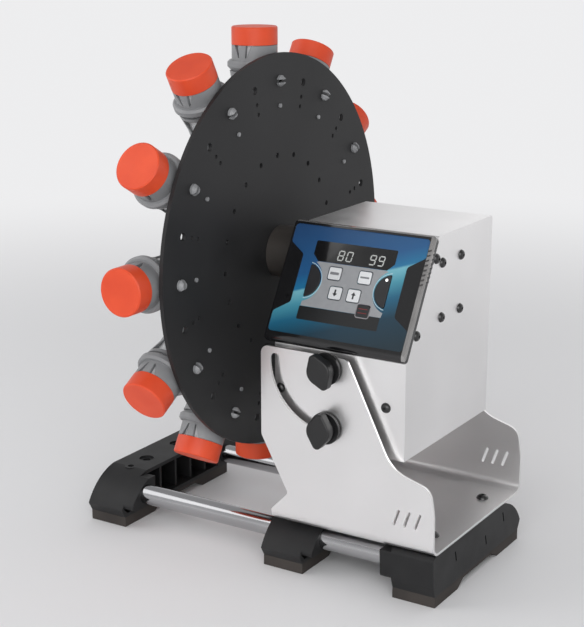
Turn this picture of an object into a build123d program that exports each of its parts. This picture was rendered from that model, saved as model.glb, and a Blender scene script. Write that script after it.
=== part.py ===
from build123d import *
import math
import os

# Tube rotator for capped conical tubes. All sizes are in millimetres. X runs from the disc to the
# housing's end face, +Z is up, Y = 0 is the middle plane, and the origin lies on the bench under
# the middle of the base.

# Base
base_length = 309.0
sheet = 2.0
foot_width = 34.0
foot_height = 39.0
foot_rounded_reach = 76.5
foot_upright_reach = 75.0
foot_wall = 3.0
foot_flat_half = 43.0
foot_shoulder_z = 15.0
foot_shoulder_in = 1.5
foot_toe_in = 4.0
foot_end_radius = 46.0
foot_upright_radius = 4.0
foot_rib = 2.5
foot_rib_pitch = 21.0
foot_rib_count = 5
pad_height = 8.0
arch_half = 34.0
arch_run = 9.0
arch_rise = 5.5
rod_d = 16.0
rod_y = 55.5
rod_z = 24.5
rod_fit = 0.05
rod_block_reach = 9.0
rod_block_inner_y = 44.0
rod_block_high_z = 36.5
rod_block_corner = 3.0
accessory_hole_y = 21.0
accessory_hole_d = 6.5
accessory_recess_d = 12.0
accessory_recess = 1.5
floor_screw_y = 42.0
floor_screw_d = 5.0
floor_screw_length = 7.5
rod_chamfer = 0.8
# Centres of the slanting slits in a foot's closed face, along Y and up
slit_places = [(38.5, 27.5), (-13.0, 21.0), (-44.0, 28.5)]
slit_length = 8.5
slit_width = 1.6
slit_depth = 1.0
slit_tilt = -16.0

# Bracket
bend_radius = 8.0
bracket_left_x = 11.5
bracket_top_z = 173.5
bracket_top_right_x = 83.0
bracket_waist_z = 105.0
bracket_neck_x = 34.5
bracket_neck_z = 63.0
bracket_heel_x = 20.0
bracket_heel_z = 48.0
shelf_run = 34.5
shelf_z = 98.5
shelf_end_run = 3.5
shelf_end_z = 89.5
bracket_right_run = 0.5
bracket_right_z = 70.0
bracket_foot_run = 0.3
bracket_corner = 6.0
bracket_neck_radius = 3.0
shelf_radius = 28.0
shelf_end_radius = 11.0
bracket_right_radius = 30.0
vent_run = 30.0
vent_z = 64.0
vent_pitch = 8.4
vent_length = 13.0
vent_width = 2.2
vent_tilt = 71.0
vent_count = 3

# Tilting head
pivot_x = 67.4
pivot_z = 164.5
guide_radius = 44.0
tilt_travel = 90.0
stud_d = 8.0
running = 0.05
slot_gap = 0.25
side_gap = 0.1
housing_left_x = 19.0
housing_length = 107.0
housing_half_width = 67.7
housing_bottom_z = 103.3
housing_top_z = 256.6
slope_bottom_z = 174.7
slope_top_y = 21.3
housing_sheet = 1.5
fold_radius = 2.5
chassis_top_z = 172.5
chassis_corner = 4.0
collar_d = 16.0
collar_length = 5.3
washer_d = 17.0
washer = 1.2
stud_head_d = 13.0
stud_head = 3.5
stud_head_edge = 1.5
side_screw_reach = 43.5
side_screw_z = 140.7
board_screw_y = 15.0
board_screw_z = 20.0
board_centre_z = 216.5
console_screw_inset = 4.6
console_screw_low = 22.0
console_screw_high = 79.0
cover_screw_d = 4.0
cover_screw_length = 6.0
knob_span = 26.4
knob_waist_d = 18.8
knob_tip_radius = 3.6
knob_grip = 6.5
knob_edge = 1.2
knob_neck_d = 16.0
knob_neck = 3.5
knob_flange_d = 23.5
knob_flange = 2.5
knob_stud_depth = 8.5
pivot_knob_turn = 25.0
clamp_knob_turn = -6.0
inlet_x = 104.0
inlet_z = 222.0
inlet_d = 11.0
inlet_bore_d = 6.4
inlet_depth = 14.0
inlet_bore_depth = 9.0
inlet_nut = 2.2
inlet_nut_d = 15.0
inlet_pin_d = 2.0

# Console on the slope
console_left_x = 11.3
console_length = 115.5
console_height = 92.6
console_thickness = 5.5
console_corner = 3.0
console_edge = 1.1
console_lip_run = 6.5
console_lip_drop = 4.0
console_lip_spare = 0.3
panel_margin_left = 1.8
panel_margin_right = 3.6
panel_margin_bottom = 7.0
panel_margin_top = 3.0
panel_corner = 3.0
panel_drop = 0.7
panel_thickness = 1.0
grip_depth_x = 12.4
grip_outer_half = 26.6
grip_inner_half = 18.4
grip_middle = 48.8
window_left = 22.6
window_low = 63.2
window_width = 66.5
window_height = 15.4
window_bevel = 5.0
window_corner = 1.0
key_block_width = 9.8
key_block_height = 9.0
lens_left = 23.3
lens_right = 89.3
lens_middle = 48.0
lens_half = 12.3
lens_bulge = 10.4
key_travel = 0.5
key_proud = 0.6
key_gap = 0.3
key_depth = 2.2
key_corner = 1.2
key_edge = 0.3
rib_count = 7
rib_pitch = 3.4
rib_width = 1.6
rib_proud = 0.5
rib_top = 3.6
rib_middle = 70.5

# Drive train
axis_z = 225.0
shaft_d = 12.0
shaft_front_stub = 3.0
shaft_chamfer = 0.8
bearing_body_d = 24.0
bearing_flange_d = 32.0
bearing_flange = 4.0
plate_thickness = 3.0
plate_d = 59.0
plate_width = 50.0
plate_drop = 44.0
gearbox_d = 52.0
gearbox_length = 32.0
motor_d = 42.0
motor_length = 50.0
motor_edge = 2.0
shaft_in_gearbox = 22.0
board_thickness = 1.6
board_width = 48.0
board_height = 56.0
board_standoff = 8.0
board_standoff_d = 6.0

# Disc
disc_back_x = -19.5
disc_d = 300.0
disc_thickness = 3.0
hub_d = 40.0
hub_length = 25.0
hub_screw_pcd = 28.0
hub_screw_d = 4.0
hub_screw_length = 12.0
hub_screw_count = 4
hub_chamfer = 1.5
station_count = 12
hook_hole_d = 6.0
hook_below_ring = 6.5
peg_hole_d = 3.2
peg_below_hook = 18.5
spare_peg_below_hook = 11.0
ring_hole_radius = 74.0
ring_hole_d = 4.0
ring_hole_count = 20
ring_hole_start = 2.5

# Tube, cap and clip, measured outwards from the disc's axis
tube_x = -41.7
tube_d = 29.4
tube_wall = 1.2
tube_tip = 50.7
tube_cone = 15.0
tube_tip_d = 6.0
cap_outer = 168.7
cap_d = 34.6
cap_height = 13.2
cap_wall = 1.3
cap_top = 1.6
cap_edge = 0.8
cap_lip_gap = 0.3
clip_bore_gap = 0.3
clip_wall = 2.2
sleeve_height = 11.2
ring_height = 8.0
ring_d = 41.0
ring_edge = 3.2
basket_height = 42.0
basket_foot_wall = 1.3
basket_rib_wall = 3.8
basket_taper = 15.0
saddle_width = 20.0
saddle_height = 40.0
basket_sill = 6.0
basket_head = 3.0
basket_opening_half = 9.0
basket_opening_corner = 1.2
# Turns about the tube's axis that face a clip's windows to its two flanks and away from the disc
window_turns = (0, -90, 180)
tongue_width = 7.0
tongue_taper = 1.0
window_gap_top = 4.2
window_gap_low = 1.0
window_sill = 2.2
hook_slot = 2.4
hook_barb = 1.2
hook_barb_height = 1.8
hook_point = 0.6
hook_root = 4.0
peg_root = 2.0
hook_reach = 4.2
peg_reach = 1.2

foot_left_x = -base_length / 2
foot_right_x = base_length / 2
foot_middle_x = bracket_left_x
foot_screw_x = foot_width / 2
bracket_floor_z = foot_height + sheet
wall_inner_y = housing_half_width + collar_length
bracket_half_width = wall_inner_y + sheet
bracket_right_x = foot_right_x - bracket_right_run
bracket_right_foot_x = foot_right_x - bracket_foot_run
shelf_x = foot_right_x - shelf_run
shelf_end_x = foot_right_x - shelf_end_run
vent_x = foot_right_x - vent_run
housing_right_x = housing_left_x + housing_length
disc_front_x = disc_back_x - disc_thickness
stud_bore_d = stud_d + 2 * running
slope_angle = math.atan2(housing_top_z - slope_bottom_z, housing_half_width - slope_top_y)
slope_plane = Plane(
    origin=(0, -housing_half_width, slope_bottom_z),
    x_dir=(1, 0, 0),
    z_dir=(0, -math.sin(slope_angle), math.cos(slope_angle)),
)
tube_mouth = cap_outer - cap_top
cap_rim = cap_outer - cap_height
clip_mouth = cap_rim - cap_lip_gap
clip_bore_d = tube_d + 2 * clip_bore_gap
ring_high = clip_mouth - sleeve_height
ring_low = ring_high - ring_height
basket_low = ring_low - basket_height
saddle_low = ring_high - saddle_height
hook_radius = ring_low - hook_below_ring
peg_radius = hook_radius - peg_below_hook
spare_peg_radius = hook_radius - spare_peg_below_hook


def along_x(radius, start, end, y=0.0, z=0.0):
    """Round bar parallel to X from one X to another."""
    return Plane(origin=(start, y, z), z_dir=(1, 0, 0)) * Cylinder(
        radius, end - start, align=(Align.CENTER, Align.CENTER, Align.MIN)
    )


def along_y(radius, start, end, x=0.0, z=0.0):
    """Round bar parallel to Y from one Y to another."""
    return Plane(origin=(x, start, z), z_dir=(0, 1, 0)) * Cylinder(
        radius, end - start, align=(Align.CENTER, Align.CENTER, Align.MIN)
    )


def upright(radius, start, end, x=0.0, y=0.0):
    """Round bar parallel to Z from one height to another."""
    return Pos(x, y, start) * Cylinder(
        radius, end - start, align=(Align.CENTER, Align.CENTER, Align.MIN)
    )


def block(x_range, y_range, z_range):
    """Box given by its limits along X, Y and Z."""
    size = [high - low for low, high in (x_range, y_range, z_range)]
    centre = [(high + low) / 2 for low, high in (x_range, y_range, z_range)]
    return Pos(*centre) * Box(*size)


def button_screw(diameter, length):
    """Button-head screw with its seat at z = 0 and its shank below."""
    head_r = 0.95 * diameter
    head = 0.55 * diameter
    socket = 0.6 * diameter
    outline = Polyline((0, -length), (diameter / 2, -length), (diameter / 2, 0), (head_r, 0))
    dome = ThreePointArc((head_r, 0), (0.72 * head_r, 0.78 * head), (0, head))
    axis = Line((0, head), (0, -length))
    body = revolve(Plane.XZ * make_face([outline, dome, axis]), Axis.Z)
    recess = extrude(Plane.XY.offset(0.5 * head) * RegularPolygon(socket / 2, 6), head)
    return body - recess


def seat(shape, position, outward):
    """Move a part that points along +Z to a place and direction."""
    return Plane(origin=position, z_dir=outward) * shape


def group(solids):
    """Separate solids kept together under one name."""
    return Compound(children=[solid for item in solids for solid in item.solids()])


# Base ----------------------------------------------------------------------------------------


def foot_outline(inset=0.0):
    """End view of a foot bar: one end rounds down, the other is upright."""
    rounded = foot_rounded_reach - inset
    upright_end = foot_upright_reach - inset
    top = foot_height - inset
    bottom = pad_height + inset
    crease = (-foot_flat_half, top)
    lower = Polyline(
        (-rounded, foot_shoulder_z),
        (foot_toe_in - rounded, bottom),
        (upright_end - foot_toe_in, bottom),
        (upright_end - foot_shoulder_in, foot_shoulder_z),
        (upright_end, top),
        crease,
    )
    rounded_end = RadiusArc(crease, (-rounded, foot_shoulder_z), inset - foot_end_radius)
    face = make_face([lower, rounded_end])
    upright_corner = face.vertices().sort_by(lambda v: v.X + v.Y)[-1]
    return fillet(upright_corner, foot_upright_radius - inset)


def rod_blocks():
    """End view of the two solid blocks that hold the rods, inside the foot's own outline."""
    block_height = rod_block_high_z - foot_shoulder_z
    middle_z = foot_shoulder_z + block_height / 2
    reach = foot_rounded_reach - rod_block_inner_y
    faces = []
    for side in (-1, 1):
        place = Pos(side * (rod_block_inner_y + reach / 2), middle_z)
        face = foot_outline() & place * Rectangle(reach, block_height)
        low_corners = face.vertices().group_by(Axis.Y)[0]
        faces.append(fillet(low_corners, rod_block_corner))
    return faces


def foot(rods_pass_through):
    """Moulded bar, open on its +X side, with ribs and rod blocks; its closed face is at X = 0."""
    body = extrude(Plane.YZ * foot_outline(), foot_width)
    hollow = extrude(Plane.YZ.offset(foot_wall) * foot_outline(foot_wall), foot_width)
    for index in range(foot_rib_count):
        rib_y = (index - (foot_rib_count - 1) / 2) * foot_rib_pitch
        hollow -= block(
            (0, foot_width - foot_wall),
            (rib_y - foot_rib / 2, rib_y + foot_rib / 2),
            (0, foot_height),
        )
    body -= hollow
    for face in rod_blocks():
        body += extrude(Plane.YZ.offset(foot_wall) * face, foot_width - foot_wall + rod_block_reach)
    rod_start = -1 if rods_pass_through else foot_wall
    rod_end = foot_width + rod_block_reach + 1
    for side in (-1, 1):
        screw_y = side * floor_screw_y
        hole_y = side * accessory_hole_y
        screw_hole = floor_screw_d / 2 + running
        screw_bottom = rod_z + rod_d / 2
        recess_floor = foot_height - accessory_recess
        body += upright(floor_screw_d, rod_z, foot_height, foot_screw_x, screw_y)
        body -= along_x(rod_d / 2 + rod_fit, rod_start, rod_end, side * rod_y, rod_z)
        body -= upright(screw_hole, screw_bottom, foot_height + 1, foot_screw_x, screw_y)
        body -= upright(
            accessory_hole_d / 2, foot_height - 2 * foot_wall, foot_height + 1, foot_screw_x, hole_y
        )
        body -= upright(accessory_recess_d / 2, recess_floor, foot_height + 1, foot_screw_x, hole_y)
    for slit_y, slit_z in slit_places:
        slit = Rectangle(slit_width, slit_length)
        place = Plane.YZ * Pos(slit_y, slit_z) * Rot(0, 0, slit_tilt)
        body -= extrude(place * slit, slit_depth)
    return body


def foot_pad():
    """Rubber strip under a foot bar, arched between its two ends."""
    rounded_toe = foot_toe_in - foot_rounded_reach
    upright_toe = foot_upright_reach - foot_toe_in
    arch_top = arch_half - arch_run
    face = make_face(
        Polyline(
            (rounded_toe, pad_height),
            (rounded_toe, 0),
            (-arch_half, 0),
            (-arch_top, arch_rise),
            (arch_top, arch_rise),
            (arch_half, 0),
            (upright_toe, 0),
            (upright_toe, pad_height),
            close=True,
        )
    )
    return extrude(Plane.YZ * face, foot_width)


def rod(side):
    """Steel tie rod whose ends butt on the closed walls of the end feet."""
    end = base_length / 2 - foot_wall - side_gap
    bar = along_x(rod_d / 2, -end, end, side * rod_y, rod_z)
    return chamfer(bar.edges().filter_by(GeomType.CIRCLE), rod_chamfer)


def bracket():
    """U-shaped bent sheet: two shaped walls on a floor that lies on two feet."""
    tall = bracket_top_z - foot_height
    outer = Pos(0, foot_height + tall / 2) * Rectangle(2 * bracket_half_width, tall)
    outer = fillet(outer.vertices().group_by(Axis.Y)[0], bend_radius)
    inner = Pos(0, bracket_floor_z + tall / 2) * Rectangle(2 * wall_inner_y, tall)
    inner = fillet(inner.vertices().group_by(Axis.Y)[0], bend_radius - sheet)
    channel = extrude(Plane.YZ.offset(bracket_left_x - 1) * (outer - inner), base_length / 2)
    wall = Polyline(
        (bracket_left_x, bracket_top_z),
        (bracket_top_right_x, bracket_top_z),
        (shelf_x, shelf_z),
        (shelf_end_x, shelf_end_z),
        (bracket_right_x, bracket_right_z),
        (bracket_right_foot_x, foot_height),
        (bracket_heel_x, foot_height),
        (bracket_heel_x, bracket_heel_z),
        (bracket_neck_x, bracket_neck_z),
        (bracket_left_x, bracket_waist_z),
        close=True,
    )
    face = make_face(wall)
    for corner, radius in (
        ((bracket_left_x, bracket_top_z), bracket_corner),
        ((bracket_top_right_x, bracket_top_z), bracket_corner),
        ((shelf_x, shelf_z), shelf_radius),
        ((shelf_end_x, shelf_end_z), shelf_end_radius),
        ((bracket_right_x, bracket_right_z), bracket_right_radius),
        ((bracket_neck_x, bracket_neck_z), bracket_neck_radius),
        ((bracket_left_x, bracket_waist_z), bracket_corner),
    ):
        face = fillet(face.vertices().sort_by_distance(corner)[0], radius)
    vents = [
        Pos(vent_x + index * vent_pitch, vent_z)
        * SlotOverall(vent_length, vent_width, rotation=vent_tilt)
        for index in range(vent_count)
    ]
    guide = SlotArc(
        CenterArc((pivot_x, pivot_z), guide_radius, 180, tilt_travel), stud_d + 2 * slot_gap
    )
    face = face - vents - guide - Pos(pivot_x, pivot_z) * Circle(stud_bore_d / 2)
    body = channel & extrude(Plane.XZ * face, bracket_half_width, both=True)
    for screw_x in (foot_middle_x + foot_screw_x, foot_right_x - foot_screw_x):
        for side in (-1, 1):
            body -= upright(floor_screw_d / 2 + running, 0, bracket_top_z, screw_x, side * floor_screw_y)
    return body


def bracket_screws():
    """Four screws through the bracket's floor into the feet."""
    screw = button_screw(floor_screw_d, floor_screw_length)
    return group(
        Pos(screw_x, side * floor_screw_y, bracket_floor_z) * screw
        for screw_x in (foot_middle_x + foot_screw_x, foot_right_x - foot_screw_x)
        for side in (-1, 1)
    )


# Head ----------------------------------------------------------------------------------------


def housing_outline():
    """End view of the housing with the slope on its front shoulder."""
    return make_face(
        Polyline(
            (-housing_half_width, housing_bottom_z),
            (-housing_half_width, slope_bottom_z),
            (-slope_top_y, housing_top_z),
            (housing_half_width, housing_top_z),
            (housing_half_width, housing_bottom_z),
            close=True,
        )
    )


def side_hole_places():
    """X and Z of the screws that hold the chassis to the housing's sides."""
    return [(pivot_x - side_screw_reach, side_screw_z), (pivot_x + side_screw_reach, side_screw_z)]


def stud_places():
    """X and Z of the pivot stud and the guide stud."""
    return [(pivot_x, pivot_z), (pivot_x, pivot_z - guide_radius)]


def board_screw_places():
    """Y and Z of the screws that hold the control board behind the end face."""
    return [
        (side_y * board_screw_y, board_centre_z + side_z * board_screw_z)
        for side_y in (-1, 1)
        for side_z in (-1, 1)
    ]


def console_screw_places():
    """Y and Z of the screws in the end face beside the slope."""
    along = (math.cos(slope_angle), math.sin(slope_angle))
    inward = (math.sin(slope_angle), -math.cos(slope_angle))
    return [
        (
            -housing_half_width + run * along[0] + console_screw_inset * inward[0],
            slope_bottom_z + run * along[1] + console_screw_inset * inward[1],
        )
        for run in (console_screw_low, console_screw_high)
    ]


def housing():
    """Folded sheet housing, open at the bottom."""
    outline = housing_outline()
    body = extrude(Plane.YZ.offset(housing_left_x) * outline, housing_length)
    folds = body.edges().filter_by(Axis.X).group_by(Axis.Z)
    body = fillet(folds[1] + folds[-1], fold_radius)
    inside = offset(outline, -housing_sheet, kind=Kind.INTERSECTION)
    cavity = extrude(
        Plane.YZ.offset(housing_left_x + housing_sheet) * inside, housing_length - 2 * housing_sheet
    )
    folds = cavity.edges().filter_by(Axis.X).group_by(Axis.Z)
    cavity = fillet(folds[1] + folds[-1], fold_radius - housing_sheet)
    mouth = block(
        (housing_left_x + housing_sheet, housing_right_x - housing_sheet),
        (-housing_half_width + housing_sheet, housing_half_width - housing_sheet),
        (housing_bottom_z - 1, housing_bottom_z + 2 * housing_sheet),
    )
    body -= cavity + mouth
    body -= along_x(bearing_body_d / 2, housing_left_x - 1, housing_left_x + 5, 0, axis_z)
    for x, z in stud_places():
        body -= along_y(stud_d / 2, -bracket_half_width, bracket_half_width, x, z)
    for x, z in side_hole_places():
        body -= along_y(cover_screw_d / 2, -bracket_half_width, bracket_half_width, x, z)
    for y, z in board_screw_places() + console_screw_places():
        body -= along_x(cover_screw_d / 2, housing_right_x - 5, housing_right_x + 1, y, z)
    body -= along_y(inlet_d / 2, housing_half_width - 5, housing_half_width + 1, inlet_x, inlet_z)
    return body


def chassis():
    """Bottom cover bent up into two side flanges that carry the studs."""
    side_y = housing_half_width - housing_sheet
    floor_top = housing_bottom_z + housing_sheet
    x_range = (housing_left_x + housing_sheet, housing_right_x - housing_sheet)
    body = block(x_range, (-side_y, side_y), (housing_bottom_z, floor_top))
    for side in (-1, 1):
        flange = sorted((side * side_y, side * (side_y - housing_sheet)))
        body += block(x_range, flange, (housing_bottom_z, chassis_top_z))
    for x, z in stud_places():
        body -= along_y(stud_d / 2, -side_y - 1, side_y + 1, x, z)
    for x, z in side_hole_places():
        body -= along_y(cover_screw_d / 2, -side_y - 1, side_y + 1, x, z)
    corners = body.edges().filter_by(Axis.Y).group_by(Axis.Z)[-1]
    return fillet(corners, chassis_corner)


def knob_seat_y():
    """Distance from the middle plane to the clamping face of a knob."""
    return bracket_half_width + side_gap + washer


def studs():
    """Pivot and guide studs on both sides, each with its head inside the chassis."""
    inner = housing_half_width - 2 * housing_sheet
    parts = []
    for x, z in stud_places():
        front = along_y(stud_d / 2, -knob_seat_y() - knob_stud_depth, -inner, x, z)
        parts.append(front + along_y(stud_head_d / 2, -inner, -inner + stud_head, x, z))
        rear = along_y(stud_d / 2, inner, knob_seat_y(), x, z)
        rear += along_y(stud_head_d / 2, inner - stud_head, inner, x, z)
        cap = along_y(stud_head_d / 2, knob_seat_y(), knob_seat_y() + stud_head, x, z)
        parts.append(rear + fillet(cap.edges().group_by(Axis.Y)[-1], stud_head_edge))
    return group(parts)


def ring_on_stud(outer_d, start, end, x, z):
    """Flat ring that fits a stud."""
    return along_y(outer_d / 2, start, end, x, z) - along_y(stud_bore_d / 2, start - 1, end + 1, x, z)


def washers():
    """Collars that centre the head between the bracket's walls, and washers outside the walls."""
    outside = bracket_half_width + side_gap
    collar_end = wall_inner_y - side_gap
    parts = []
    for x, z in stud_places():
        parts.append(ring_on_stud(collar_d, housing_half_width, collar_end, x, z))
        parts.append(ring_on_stud(collar_d, -collar_end, -housing_half_width, x, z))
        parts.append(ring_on_stud(washer_d, outside, outside + washer, x, z))
        parts.append(ring_on_stud(washer_d, -outside - washer, -outside, x, z))
    return group(parts)


def knob(x, z, turn):
    """Two-winged clamping knob on a round flange, on the front end of a stud."""
    tip_y = knob_span / 2 - knob_tip_radius
    tips = [Pos(0, side * tip_y) * Circle(knob_tip_radius) for side in (-1, 1)]
    wings = make_hull((Circle(knob_waist_d / 2) + tips).edges())
    grip = extrude(wings, knob_grip)
    grip = fillet(grip.edges().group_by(Axis.Z)[-1], knob_edge)
    upwards = (Align.CENTER, Align.CENTER, Align.MIN)
    body = Pos(0, 0, knob_flange + knob_neck) * grip
    body += Pos(0, 0, knob_flange) * Cylinder(knob_neck_d / 2, knob_neck, align=upwards)
    body += Cylinder(knob_flange_d / 2, knob_flange, align=upwards)
    body -= Cylinder(stud_d / 2 + running, knob_stud_depth + side_gap, align=upwards)
    return seat(Rot(0, 0, turn) * body, (x, -knob_seat_y() - side_gap, z), (0, -1, 0))


def housing_screws():
    """Button-head screws in the housing's sides and end face."""
    screw = button_screw(cover_screw_d, cover_screw_length)
    parts = []
    for x, z in side_hole_places():
        parts.append(seat(screw, (x, -housing_half_width, z), (0, -1, 0)))
        parts.append(seat(screw, (x, housing_half_width, z), (0, 1, 0)))
    for y, z in board_screw_places() + console_screw_places():
        parts.append(seat(screw, (housing_right_x, y, z), (1, 0, 0)))
    return group(parts)


def power_inlet():
    """Round low-voltage inlet in the far side."""
    wall_y = housing_half_width
    pin_end = wall_y - inlet_bore_depth
    nut = RegularPolygon(inlet_nut_d / 2, 6)
    body = along_y(inlet_d / 2, wall_y - inlet_depth, wall_y, inlet_x, inlet_z)
    body += extrude(Plane(origin=(inlet_x, wall_y, inlet_z), z_dir=(0, 1, 0)) * nut, inlet_nut)
    body -= along_y(inlet_bore_d / 2, pin_end, wall_y + inlet_nut + 1, inlet_x, inlet_z)
    return body + along_y(inlet_pin_d / 2, pin_end, wall_y - 1, inlet_x, inlet_z)


# Console: local x is X, local y runs up the slope, local z leaves the slope ----------------------


def panel_outline():
    """Control panel with a wide notch on each side."""
    left = console_left_x + panel_margin_left
    right = console_left_x + console_length - panel_margin_right
    low = panel_margin_bottom
    high = console_height - panel_margin_top
    face = make_face(
        Polyline(
            (left, low),
            (right, low),
            (right, grip_middle - grip_outer_half),
            (right - grip_depth_x, grip_middle - grip_inner_half),
            (right - grip_depth_x, grip_middle + grip_inner_half),
            (right, grip_middle + grip_outer_half),
            (right, high),
            (left, high),
            (left, grip_middle + grip_outer_half),
            (left + grip_depth_x, grip_middle + grip_inner_half),
            (left + grip_depth_x, grip_middle - grip_inner_half),
            (left, grip_middle - grip_outer_half),
            close=True,
        )
    )
    return fillet(face.vertices(), panel_corner)


def window_outline():
    """Display window in the console's own X."""
    centre = (console_left_x + window_left + window_width / 2, window_low + window_height / 2)
    face = Pos(*centre) * Rectangle(window_width, window_height)
    face = chamfer(face.vertices().group_by(Axis.Y)[0], window_bevel)
    return fillet(face.vertices(), window_corner)


# Centres of the square keys: from the console's left end, and up the slope
square_keys = {
    "key_mode": (44.0, 55.6),
    "key_timer": (68.7, 55.6),
    "key_down": (48.4, 41.4),
    "key_up": (63.4, 41.4),
    "key_power": (73.8, 31.4),
}
# Straight side of each lens-shaped key from the console's left end, and the way it bulges
lens_keys = {"key_stop": (lens_left, 1), "key_start": (lens_right, -1)}
keys = [*square_keys, *lens_keys]


def key_outline(name, margin):
    """Key seen from the front, grown by a margin."""
    if name in square_keys:
        from_left, centre_y = square_keys[name]
        shape = RectangleRounded(
            key_block_width + 2 * margin, key_block_height + 2 * margin, key_corner + margin
        )
        return Pos(console_left_x + from_left, centre_y) * shape
    from_left, way = lens_keys[name]
    flat_x = console_left_x + from_left - way * margin
    high = (flat_x, lens_middle + lens_half + margin)
    low = (flat_x, lens_middle - lens_half - margin)
    crown = (flat_x + way * (lens_bulge + 2 * margin), lens_middle)
    face = make_face([Line(low, high), ThreePointArc(high, crown, low)])
    return fillet(face.vertices(), key_corner)


def on_slope(face, low, high):
    """Extrude a console outline between two heights above the slope."""
    return extrude(slope_plane.offset(low) * face, high - low)


def panel_levels():
    """Heights of the panel's underside and face above the slope."""
    top = console_thickness - panel_drop
    return top - panel_thickness, top


def lipped_profile():
    """Bar along X whose section is the console's side view, rounded along its lower edge."""
    foot_point = (-console_lip_spare, console_thickness - console_lip_drop)
    shoulder = (console_lip_run, console_thickness)
    lip = ThreePointArc(
        foot_point,
        (
            console_lip_run * (1 - math.cos(math.pi / 4)),
            console_thickness - console_lip_drop * (1 - math.sin(math.pi / 4)),
        ),
        shoulder,
    )
    rest = Polyline(
        shoulder,
        (console_lip_run, console_thickness + 1),
        (console_height + 1, console_thickness + 1),
        (console_height + 1, -1),
        (-console_lip_spare, -1),
        foot_point,
    )
    start = (slope_plane * Pos(console_left_x - 1, 0, 0)).position
    section = Plane(origin=start, x_dir=slope_plane.y_dir, z_dir=(1, 0, 0))
    return extrude(section * make_face([lip, rest]), console_length + 2)


def console_bezel():
    """Console frame with a recess for the panel, a rounded lower lip and a ribbed end."""
    middle = (console_left_x + console_length / 2, console_height / 2)
    outline = Pos(*middle) * RectangleRounded(console_length, console_height, console_corner)
    body = on_slope(outline, 0, console_thickness)
    rim = body.faces().sort_by(Axis(slope_plane.origin, slope_plane.z_dir))[-1]
    body = chamfer(rim.edges(), console_edge) & lipped_profile()
    under, top = panel_levels()
    body -= on_slope(panel_outline(), under, console_thickness + 1)
    for name in keys:
        body -= on_slope(key_outline(name, key_gap), top + key_proud - key_depth - 2 * key_travel, top)
    end_x = console_left_x + console_length
    for index in range(rib_count):
        rib_y = rib_middle + (index - (rib_count - 1) / 2) * rib_pitch
        outline = Pos(end_x, rib_y) * Rectangle(2 * rib_proud, rib_width)
        body += on_slope(outline, rib_proud, rib_top)
    return body


def console_panel():
    """Printed control panel with openings for the window and the keys."""
    under, top = panel_levels()
    outline = panel_outline() - window_outline()
    for name in keys:
        outline -= key_outline(name, key_gap)
    return on_slope(outline, under, top)


def console_window():
    """Smoked display window, level with the panel."""
    under, top = panel_levels()
    return on_slope(window_outline(), under, top)


def key(name):
    """Sprung key that stands a little proud of the panel."""
    top = panel_levels()[1] + key_proud
    body = on_slope(key_outline(name, 0), top - key_depth, top)
    rim = body.faces().sort_by(Axis(slope_plane.origin, slope_plane.z_dir))[-1]
    return fillet(rim.edges(), key_edge)


# Drive train ----------------------------------------------------------------------------------


def shaft_bearing():
    """Flanged plain bearing in the housing's front wall."""
    inner_end = housing_left_x + housing_sheet + plate_thickness
    body = along_x(bearing_body_d / 2, housing_left_x, inner_end, 0, axis_z)
    body += along_x(bearing_flange_d / 2, housing_left_x - bearing_flange, housing_left_x, 0, axis_z)
    flange_x = housing_left_x - bearing_flange
    bore = along_x(shaft_d / 2 + running, flange_x - 1, inner_end + 1, 0, axis_z)
    return body - bore


def motor_plate():
    """Stiff plate behind the front wall that carries the gearmotor."""
    start = housing_left_x + housing_sheet
    face = Circle(plate_d / 2) + Pos(0, -plate_drop / 2) * Rectangle(plate_width, plate_drop)
    body = extrude(Plane.YZ.offset(start) * Pos(0, axis_z) * face, plate_thickness)
    return body - along_x(bearing_body_d / 2, start - 1, start + plate_thickness + 1, 0, axis_z)


def gearbox_start():
    """X of the gearbox's front face."""
    return housing_left_x + housing_sheet + plate_thickness


def gearbox():
    """Round gearbox with a hollow output."""
    start = gearbox_start()
    body = along_x(gearbox_d / 2, start, start + gearbox_length, 0, axis_z)
    bore = along_x(shaft_d / 2 + running, start - 1, start + shaft_in_gearbox + side_gap, 0, axis_z)
    return body - bore


def motor():
    """Direct-current motor behind the gearbox."""
    start = gearbox_start() + gearbox_length
    body = along_x(motor_d / 2, start, start + motor_length, 0, axis_z)
    rear = body.edges().filter_by(GeomType.CIRCLE).group_by(Axis.X)[-1]
    return fillet(rear, motor_edge)


def circuit_board():
    """Control board on four standoffs behind the end face."""
    wall_x = housing_right_x - housing_sheet
    board_x = wall_x - board_standoff
    face = Pos(0, board_centre_z) * Rectangle(board_width, board_height)
    parts = [extrude(Plane.YZ.offset(board_x - board_thickness) * face, board_thickness)]
    for y, z in board_screw_places():
        post = along_x(board_standoff_d / 2, board_x, wall_x, y, z)
        parts.append(post - along_x(cover_screw_d / 2, board_x + 1, wall_x + 1, y, z))
    return group(parts)


# Disc -----------------------------------------------------------------------------------------


def at_station(shape, turn):
    """Turn a part built at the top of the disc round the disc's axis and lift it into place."""
    return Pos(0, 0, axis_z) * Rot(turn, 0, 0) * shape


def station_turn(index):
    """Angle of a tube station from the top."""
    return index * 360 / station_count


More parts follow.
